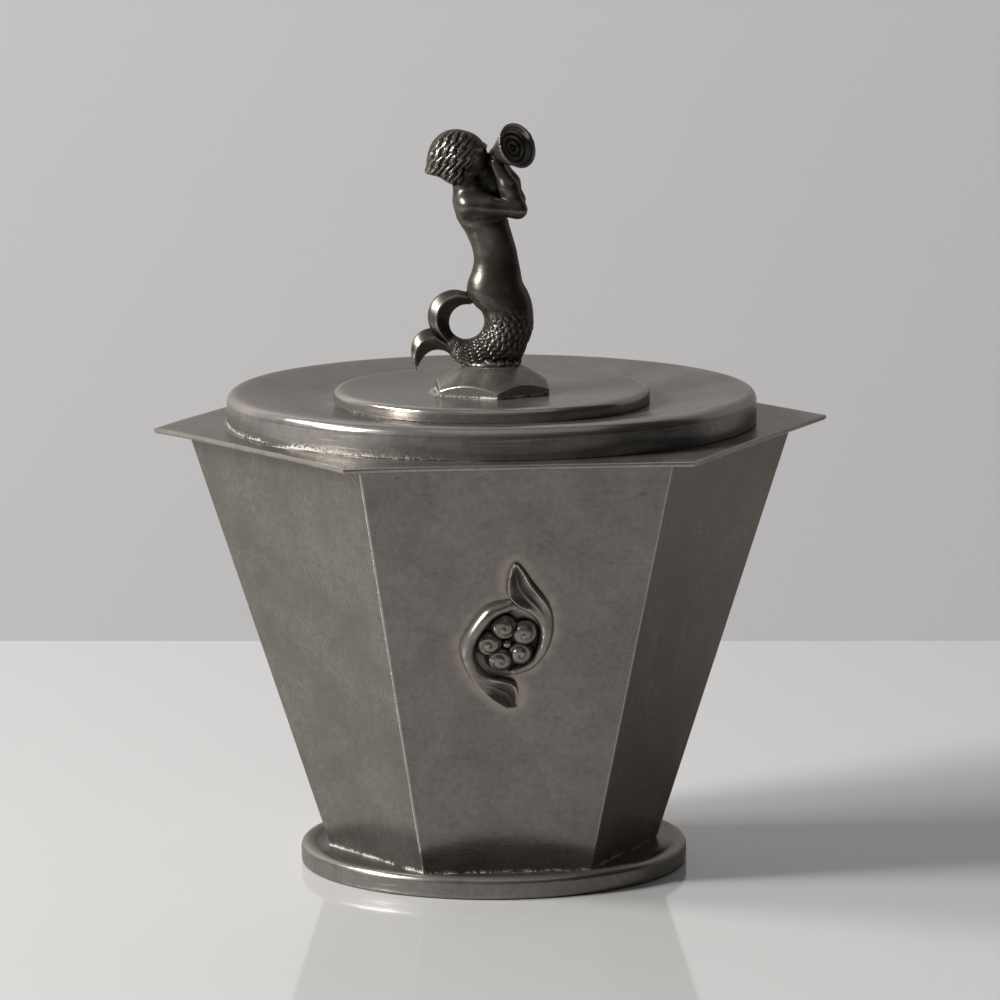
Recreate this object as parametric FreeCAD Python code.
import FreeCAD, Part
import math
import os

from FreeCAD import Rotation, Vector

# Sugar bowl of sheet pewter with a lift-off lid and a cast mermaid finial, in millimetres.
# +Z is up.  The origin is the centre of the foot's underside.
# The bowl is hexagonal; its front panel, which carries the cast ornament, faces -Y.

# ---- driving dimensions -------------------------------------------------------------------

SHEET = 1.3                 # thickness of the body panels
CORNERS = 6

FOOT_RADIUS = 37.5
FOOT_FLOOR_Z = 3.3          # level on which the panels stand
FOOT_CREST_Z = 4.3
FOOT_RECESS = 0.8           # hollow of the underside
FOOT_REST_RADIUS = 31.0     # inner edge of the ring that the bowl rests on

BODY_BOTTOM_RADIUS = 32.0   # over the corners of the hexagon
BODY_TOP_RADIUS = 58.6
BODY_TOP_Z = 85.15

RIM_THICKNESS = 1.0
RIM_RADIUS = 65.1           # over the six points
RIM_HOLLOW = 0.4            # how far each edge bows inwards at its middle
MOUTH_RADIUS = 47.0
RIM_TOP_Z = BODY_TOP_Z + RIM_THICKNESS

LID_GAP = 0.03              # hairline between the rim plate and the loose lid
LID_BASE_Z = RIM_TOP_Z + LID_GAP

LID_RADIUS = 51.05
LID_CREST_RADIUS = 49.2
LID_CREST = 6.2             # heights on the lid are above its own lower edge
LID_GROOVE = 3.9
LID_OPENING_RADIUS = 26.0   # hole in the lower cap, closed by the upper cap
LID_SHEET = 1.2

UPPER_CAP_RADIUS = 30.5
UPPER_CAP_CREST = 6.7
UPPER_CAP_FLAT = 5.8
UPPER_CAP_FLAT_RADIUS = 13.5

RING_RADIUS = 46.3          # locating ring under the lid
RING_SHEET = 1.2
RING_DEPTH = 6.0            # below the lid's lower edge
RING_SEAT = 4.4             # underside of the lower cap that it is soldered to

PEDESTAL_RADIUS = 12.2      # over the corners of its hexagon
PEDESTAL_EDGE = 1.0         # height of the upright corner edges
PEDESTAL_TOP = 11.0
PEDESTAL_TOP_RADIUS = 5.6

STUD_RADIUS = 1.5
STUD_BOTTOM = 1.0
STUD_TOP = 9.6
STUD_GAP = 0.02
HOLE_GAP = 0.2
WASHER_RADIUS = 5.0
WASHER_THICKNESS = 0.8
NUT_FLATS = 5.5
NUT_THICKNESS = 2.4

HOLE_CENTRE = (-4.75, 8.35)     # round opening enclosed by the tail: x, and z above the pedestal
HOLE_RADIUS = 3.35
BELL_RADIUS = 4.7               # mouth of the figure's horn
BELL_DEPTH = 1.8

ORNAMENT_X = -0.9
ORNAMENT_HEIGHT = 50.0          # along the front panel, from the foot's floor
ORNAMENT_FIELD = (7.4, 7.6)     # half width and half height of the sunk field
ORNAMENT_FIELD_DEPTH = 0.8
BEAD_RADIUS = 1.8
BEAD_RING = 3.2

BODY_SLOPE = math.atan2(
    (BODY_TOP_RADIUS - BODY_BOTTOM_RADIUS) * math.cos(math.pi / CORNERS),
    BODY_TOP_Z - FOOT_FLOOR_Z,
)


# ---- small helpers ------------------------------------------------------------------------

def polar(radius, degrees, z=0.0):
    angle = math.radians(degrees)
    return Vector(radius * math.cos(angle), radius * math.sin(angle), z)


def turned(outline, base_z=0.0):
    """Body of revolution about Z.

    Each item of the outline is a point (r, z), or a pair of points (through, end) for an arc
    that starts where the item before it ends.
    """
    def place(point):
        return Vector(point[0], 0, point[1] + base_z)

    start = place(outline[0])
    here = start
    edges = []
    for item in outline[1:] + [outline[0]]:
        if isinstance(item[0], tuple):
            through, end = place(item[0]), place(item[1])
            edges.append(Part.Arc(here, through, end).toShape())
        else:
            end = place(item)
            edges.append(Part.LineSegment(here, end).toShape())
        here = end
    face = Part.Face(Part.Wire(edges))
    return face.revolve(Vector(0, 0, 0), Vector(0, 0, 1), 360)


def polyhedron(points, faces):
    shell = Part.Shell(
        [Part.Face(Part.makePolygon([points[i] for i in face] + [points[face[0]]])) for face in faces]
    )
    solid = Part.Solid(shell)
    if solid.Volume < 0:
        solid.reverse()
    return solid


def oval(first, last, half_depth):
    """Closed smooth outline through two opposite points in the XZ plane, `half_depth` in Y."""
    middle = (first + last) * 0.5
    reach = (last - first) * 0.5
    side = Vector(0, half_depth, 0)
    points = []
    for step in range(12):
        angle = math.radians(30 * step)
        points.append(middle + reach * math.cos(angle) + side * math.sin(angle))
    curve = Part.BSplineCurve()
    curve.interpolate(Points=points, PeriodicFlag=True)
    return Part.Wire(curve.toShape())


def lofted(sections):
    return Part.makeLoft(sections, True, True)


def ellipsoid(centre, half_sizes, tilt_degrees=0.0):
    """Ellipsoid; the tilt turns it about the Y axis."""
    matrix = FreeCAD.Matrix()
    matrix.scale(*half_sizes)
    shape = Part.makeSphere(1.0).transformGeometry(matrix)
    shape.Placement = FreeCAD.Placement(centre, Rotation(Vector(0, 1, 0), tilt_degrees))
    return shape


def tapered_rod(start, end, start_radius, end_radius):
    axis = end - start
    return Part.makeCone(start_radius, end_radius, axis.Length, start, axis)


def limb(joints):
    """Rounded rod through the given (point, radius) joints."""
    shape = Part.makeSphere(joints[0][1], joints[0][0])
    for (start, start_radius), (end, end_radius) in zip(joints, joints[1:]):
        shape = shape.fuse(tapered_rod(start, end, start_radius, end_radius))
        shape = shape.fuse(Part.makeSphere(end_radius, end))
    return shape


def hexagon_prism(radius, bottom, top, first_corner):
    corners = [polar(radius, first_corner + 60 * i, bottom) for i in range(CORNERS)]
    face = Part.Face(Part.makePolygon(corners + [corners[0]]))
    return face.extrude(Vector(0, 0, top - bottom))


# ---- bowl ---------------------------------------------------------------------------------

def make_foot_disc():
    """Thick round base with a rounded shoulder; it also closes the bottom of the bowl."""
    outline = [
        (0, FOOT_RECESS),
        (FOOT_REST_RADIUS - 0.8, FOOT_RECESS),
        (FOOT_REST_RADIUS, 0),
        (FOOT_RADIUS - 0.7, 0),
        ((FOOT_RADIUS - 0.2, 0.2), (FOOT_RADIUS, 0.7)),
        (FOOT_RADIUS, 3.2),
        ((FOOT_RADIUS - 0.4, 4.0), (FOOT_RADIUS - 1.4, FOOT_CREST_Z)),
        ((FOOT_RADIUS - 2.4, 4.1), (FOOT_RADIUS - 3.2, 3.6)),
        (FOOT_RADIUS - 4.4, FOOT_FLOOR_Z),
        (0, FOOT_FLOOR_Z),
    ]
    return turned(outline)


def make_panel(middle_degrees):
    """One flat side of the tapered hexagon, mitred where it meets its neighbours."""
    inset = SHEET / math.cos(BODY_SLOPE) / math.cos(math.pi / CORNERS)
    points = []
    for level, outer_radius in ((FOOT_FLOOR_Z, BODY_BOTTOM_RADIUS), (BODY_TOP_Z, BODY_TOP_RADIUS)):
        for radius in (outer_radius, outer_radius - inset):
            points.append(polar(radius, middle_degrees - 30, level))
            points.append(polar(radius, middle_degrees + 30, level))
    # point order: bottom outer pair, bottom inner pair, top outer pair, top inner pair
    faces = [
        (0, 1, 5, 4),
        (3, 2, 6, 7),
        (0, 2, 3, 1),
        (4, 5, 7, 6),
        (0, 4, 6, 2),
        (1, 3, 7, 5),
    ]
    return polyhedron(points, faces)


def make_rim_plate():
    """Flat six-pointed plate with slightly hollow edges and a round mouth."""
    middle_radius = RIM_RADIUS * math.cos(math.pi / CORNERS) - RIM_HOLLOW
    edges = []
    for i in range(CORNERS):
        start = polar(RIM_RADIUS, 60 * i, BODY_TOP_Z)
        middle = polar(middle_radius, 60 * i + 30, BODY_TOP_Z)
        end = polar(RIM_RADIUS, 60 * i + 60, BODY_TOP_Z)
        edges.append(Part.Arc(start, middle, end).toShape())
    plate = Part.Face(Part.Wire(edges)).extrude(Vector(0, 0, RIM_THICKNESS))
    mouth = Part.makeCylinder(MOUTH_RADIUS, 3 * RIM_THICKNESS, Vector(0, 0, BODY_TOP_Z - RIM_THICKNESS))
    return plate.cut(mouth)


# ---- lid ----------------------------------------------------------------------------------

def make_lid_lower_cap():
    """Wide shallow cap: upright wall, rounded shoulder, and a top that dips to a groove."""
    inner_wall = LID_RADIUS - LID_SHEET
    underside = LID_GROOVE - LID_SHEET
    outline = [
        (inner_wall, 0),
        (LID_RADIUS - 0.2, 0),
        ((LID_RADIUS - 0.05, 0.05), (LID_RADIUS, 0.2)),
        (LID_RADIUS, 4.6),
        ((LID_RADIUS - 0.5, 5.8), (LID_CREST_RADIUS, LID_CREST)),
        ((42.5, 5.2), (34.0, LID_GROOVE)),
        (LID_OPENING_RADIUS, LID_GROOVE),
        (LID_OPENING_RADIUS, underside),
        (34.0, underside),
        (RING_RADIUS - 2.0, RING_SEAT),
        (LID_CREST_RADIUS, RING_SEAT),
        ((inner_wall - 0.2, 4.1), (inner_wall, 3.5)),
    ]
    return turned(outline, LID_BASE_Z)


def make_lid_upper_cap():
    """Smaller stepped cap soldered over the opening of the lower one; it carries the finial."""
    wall = UPPER_CAP_RADIUS - LID_SHEET
    underside = UPPER_CAP_FLAT - LID_SHEET
    bore = STUD_RADIUS + HOLE_GAP
    outline = [
        (wall, LID_GROOVE),
        (UPPER_CAP_RADIUS, LID_GROOVE),
        (UPPER_CAP_RADIUS, 5.1),
        ((UPPER_CAP_RADIUS - 0.4, 6.2), (UPPER_CAP_RADIUS - 1.5, UPPER_CAP_CREST)),
        ((22.0, 6.15), (UPPER_CAP_FLAT_RADIUS, UPPER_CAP_FLAT)),
        (bore, UPPER_CAP_FLAT),
        (bore, underside),
        (UPPER_CAP_FLAT_RADIUS, underside),
        (wall - 0.9, UPPER_CAP_CREST - LID_SHEET),
        (wall, 4.9),
    ]
    return turned(outline, LID_BASE_Z)


def make_lid_locating_ring():
    """Plain hoop under the lid that drops into the mouth and keeps the lid central."""
    inner = RING_RADIUS - RING_SHEET
    outline = [
        (inner, -RING_DEPTH),
        (RING_RADIUS - 0.4, -RING_DEPTH),
        (RING_RADIUS, 0.5 - RING_DEPTH),
        (RING_RADIUS, RING_SEAT),
        (inner, RING_SEAT),
    ]
    return turned(outline, LID_BASE_Z)


def make_finial_pedestal():
    """Domed cone whose skirt is cut by a hexagonal prism, which leaves six arched facets."""
    skirt = UPPER_CAP_FLAT + PEDESTAL_EDGE
    dome = turned(
        [
            (0, UPPER_CAP_FLAT),
            (PEDESTAL_RADIUS, UPPER_CAP_FLAT),
            (PEDESTAL_RADIUS, skirt),
            ((9.1, skirt + 2.2), (PEDESTAL_TOP_RADIUS, PEDESTAL_TOP)),
            (0, PEDESTAL_TOP),
        ],
        LID_BASE_Z,
    )
    prism = hexagon_prism(PEDESTAL_RADIUS, LID_BASE_Z, LID_BASE_Z + 2 * PEDESTAL_TOP, 30)
    socket = Part.makeCylinder(
        STUD_RADIUS + STUD_GAP, STUD_TOP - UPPER_CAP_FLAT, Vector(0, 0, LID_BASE_Z + UPPER_CAP_FLAT)
    )
    return dome.common(prism).cut(socket)


def make_finial_stud():
    height = STUD_TOP - STUD_BOTTOM
    return Part.makeCylinder(STUD_RADIUS, height, Vector(0, 0, LID_BASE_Z + STUD_BOTTOM))


def make_finial_washer():
    top = UPPER_CAP_FLAT - LID_SHEET
    outline = [
        (STUD_RADIUS + HOLE_GAP, top - WASHER_THICKNESS),
        (WASHER_RADIUS, top - WASHER_THICKNESS),
        (WASHER_RADIUS, top),
        (STUD_RADIUS + HOLE_GAP, top),
    ]
    return turned(outline, LID_BASE_Z)


def make_finial_nut():
    top = LID_BASE_Z + UPPER_CAP_FLAT - LID_SHEET - WASHER_THICKNESS
    bottom = top - NUT_THICKNESS
    body = hexagon_prism(NUT_FLATS / math.sqrt(3), bottom, top, 0)
    thread = Part.makeCylinder(STUD_RADIUS + STUD_GAP, NUT_THICKNESS, Vector(0, 0, bottom))
    return body.cut(thread)


# ---- cast mermaid, in coordinates of its own: x, depth y, and z above the pedestal ----------

def around_hole(degrees, radius):
    """Point in the XZ plane, measured from the centre of the round opening."""
    angle = math.radians(degrees)
    return Vector(HOLE_CENTRE[0] + radius * math.cos(angle), 0, HOLE_CENTRE[1] + radius * math.sin(angle))


def fan(steps):
    """Loft of ovals that stand like the leaves of a fan around the round opening.

    Each step is (angle, inner radius, outer radius, half depth).
    """
    return lofted([oval(around_hole(a, near), around_hole(a, far), depth) for a, near, far, depth in steps])


def make_torso():
    """Shoulders, waist, hips and the tail as far as the place where it turns under the opening."""
    def section(x_back, z_back, x_front, z_front, half_depth):
        return oval(Vector(x_back, 0, z_back), Vector(x_front, 0, z_front), half_depth)

    upper = [
        section(-6.4, 33.6, -2.4, 34.6, 2.0),
        section(-7.4, 31.2, 0.2, 32.2, 4.6),
        section(-6.5, 28.4, 3.2, 28.4, 4.3),
        section(-4.9, 25.4, 4.1, 25.4, 3.6),
        section(-3.3, 20.6, 5.3, 20.6, 3.2),
        section(-4.7, 15.4, 6.4, 15.8, 4.2),
        section(-2.7, 11.4, 7.7, 12.6, 4.6),
        section(-1.4, 8.6, 8.1, 9.4, 4.7),
    ]
    # angle around the opening, inner radius, outer radius, half depth
    tail = [
        (-25, HOLE_RADIUS, 12.4, 4.6),
        (-40, HOLE_RADIUS, 13.2, 4.5),
        (-58, HOLE_RADIUS, 10.4, 4.3),
        (-85, HOLE_RADIUS, 8.6, 3.9),
        (-115, HOLE_RADIUS, 7.0, 3.0),
    ]
    lower = [oval(around_hole(a, near), around_hole(a, far), depth) for a, near, far, depth in tail]
    body = lofted(upper).fuse(lofted(upper[-1:] + lower))
    below_pedestal = Part.makeBox(60, 60, 20, Vector(-30, -30, -20))
    return body.cut(below_pedestal)


def make_flukes():
    """The tail fin's two lobes: one curls up round the opening, one curls down to a point."""
    upper_lobe = fan(
        [
            (-98, HOLE_RADIUS + 0.5, 6.0, 2.2),
            (-135, HOLE_RADIUS, 6.2, 2.1),
            (-170, HOLE_RADIUS, 7.2, 1.9),
            (-200, HOLE_RADIUS, 7.8, 1.9),
            (-230, HOLE_RADIUS, 7.4, 1.8),
            (-260, HOLE_RADIUS, 6.4, 1.7),
            (-292, HOLE_RADIUS + 0.3, 5.4, 1.4),
        ]
    )
    lower_lobe = lofted(
        [
            oval(Vector(-5.4, 0, 1.6), Vector(-6.2, 0, 4.2), 1.9),
            oval(Vector(-8.3, 0, 2.5), Vector(-9.0, 0, 6.0), 2.2),
            oval(Vector(-11.3, 0, 2.9), Vector(-12.7, 0, 7.0), 2.0),
            oval(Vector(-13.4, 0, 1.5), Vector(-15.3, 0, 4.5), 1.6),
            oval(Vector(-14.0, 0, 0.3), Vector(-15.4, 0, 1.2), 1.0),
            oval(Vector(-14.3, 0, -1.0), Vector(-14.8, 0, -0.9), 0.3),
        ]
    )
    return upper_lobe.fuse(lower_lobe)


def make_head():
    """Head thrown back, with the hair as one smooth mass that ends in a point at the nape."""
    skull = ellipsoid(Vector(-6.2, 0, 40.6), (5.3, 4.8, 4.9))
    hair_point = ellipsoid(Vector(-9.0, 0, 38.5), (3.7, 3.8, 2.2), 12)
    neck = tapered_rod(Vector(-4.4, 0, 32.6), Vector(-4.2, 0, 38.0), 2.6, 2.3)
    return skull.fuse(hair_point).fuse(neck)


def make_arms():
    """Both arms level to the elbows and then up, so that the hands meet under the horn."""
    near_arm = limb(
        [
            (Vector(-4.6, -3.9, 30.9), 2.2),
            (Vector(4.4, -4.1, 30.3), 1.6),
            (Vector(0.8, -1.6, 40.0), 1.2),
        ]
    )
    far_arm = limb(
        [
            (Vector(-3.4, 3.4, 31.8), 2.2),
            (Vector(5.0, 2.8, 31.6), 1.5),
            (Vector(2.2, 0.6, 40.0), 1.2),
        ]
    )
    return near_arm.fuse(far_arm)


def make_horn():
    """Short flared horn held to the lips, with a shallow sunk bell."""
    mouthpiece = Vector(-1.7, 3.6, 40.6)
    throat = Vector(0.9, 0.8, 41.1)
    bell = Vector(5.0, -3.6, 42.0)
    axis = (bell - throat).normalize()
    stem = tapered_rod(mouthpiece, throat + axis * 0.5, 1.2, 1.8)
    flare = tapered_rod(throat, bell, 1.7, BELL_RADIUS)
    hollow = tapered_rod(bell - axis * BELL_DEPTH, bell + axis, BELL_RADIUS - 2.2, BELL_RADIUS + 0.2)
    return stem.fuse(flare).cut(hollow)


def make_mermaid_figure():
    pad = Part.makeCone(PEDESTAL_TOP_RADIUS - 0.1, 4.6, 1.6)
    figure = make_torso()
    for piece in (pad, make_flukes(), make_head(), make_arms(), make_horn()):
        figure = figure.fuse(piece)
    figure.translate(Vector(0, 0, LID_BASE_Z + PEDESTAL_TOP))
    return figure


# ---- cast ornament, built flat (x across, z outwards, y up the panel) and then laid on -------

def crescent_leaf(turn_degrees):
    """One of the two interlocking leaf scrolls, thick in the middle and drawn out to a tip."""
    sections = []
    # angle around the field, distance from its centre, half width, height above the panel
    steps = (
        (-70, 7.2, 0.7, 1.3),
        (-35, 7.9, 1.5, 2.0),
        (0, 7.6, 1.7, 2.4),
        (35, 8.0, 2.1, 2.6),
        (62, 9.4, 2.2, 2.6),
        (78, 11.9, 1.7, 2.2),
        (88, 14.2, 0.7, 1.3),
    )
    for angle, distance, half_width, height in steps:
        outward = polar(1.0, angle)
        centre = polar(distance, angle)
        points = []
        for step in range(12):
            bend = math.radians(30 * step)
            points.append(centre + outward * (half_width * math.cos(bend)) + Vector(0, 0, height * math.sin(bend)))
        curve = Part.BSplineCurve()
        curve.interpolate(Points=points, PeriodicFlag=True)
        sections.append(Part.Wire(curve.toShape()))
    leaf = lofted(sections)
    leaf.rotate(Vector(0, 0, 0), Vector(0, 0, 1), turn_degrees)
    return leaf


def make_ornament():
    matrix = FreeCAD.Matrix()
    matrix.scale(ORNAMENT_FIELD[0], ORNAMENT_FIELD[1], ORNAMENT_FIELD_DEPTH)
    ornament = Part.makeCylinder(1.0, 1.0).transformGeometry(matrix)
    for turn in (0, 180):
        ornament = ornament.fuse(crescent_leaf(turn))
    beads = [polar(BEAD_RING, 90 + 72 * i, ORNAMENT_FIELD_DEPTH) for i in range(5)]
    for centre in beads:
        ornament = ornament.fuse(Part.makeSphere(BEAD_RADIUS, centre))
    ornament = ornament.fuse(Part.makeSphere(0.5 * BEAD_RADIUS, Vector(0, 0, 1.2)))
    behind_panel = Part.makeBox(80, 80, 20, Vector(-40, -40, -20))
    ornament = ornament.cut(behind_panel)
    # stand it up on the front panel, which leans outwards
    ornament.rotate(Vector(0, 0, 0), Vector(1, 0, 0), 90 + math.degrees(BODY_SLOPE))
    front = BODY_BOTTOM_RADIUS * math.cos(math.pi / CORNERS) + ORNAMENT_HEIGHT * math.sin(BODY_SLOPE)
    height = FOOT_FLOOR_Z + ORNAMENT_HEIGHT * math.cos(BODY_SLOPE)
    ornament.translate(Vector(ORNAMENT_X, -front, height))
    return ornament


# ---- write one STEP file per piece ---------------------------------------------------------

PANELS = {
    "panel_front": 270,
    "panel_front_right": 330,
    "panel_back_right": 30,
    "panel_back": 90,
    "panel_back_left": 150,
    "panel_front_left": 210,
}

pieces = {
    "foot_disc": make_foot_disc(),
    "rim_plate": make_rim_plate(),
    "ornament": make_ornament(),
    "lid_lower_cap": make_lid_lower_cap(),
    "lid_upper_cap": make_lid_upper_cap(),
    "lid_locating_ring": make_lid_locating_ring(),
    "finial_pedestal": make_finial_pedestal(),
    "finial_stud": make_finial_stud(),
    "finial_washer": make_finial_washer(),
    "finial_nut": make_finial_nut(),
    "mermaid_figure": make_mermaid_figure(),
}
for panel_name, middle in PANELS.items():
    pieces[panel_name] = make_panel(middle)

os.makedirs("parts", exist_ok=True)
for name, shape in pieces.items():
    shape.exportStep("parts/" + name + ".step")
    print(name, "valid", shape.isValid(), "solids", len(shape.Solids), "volume", round(shape.Volume, 1))
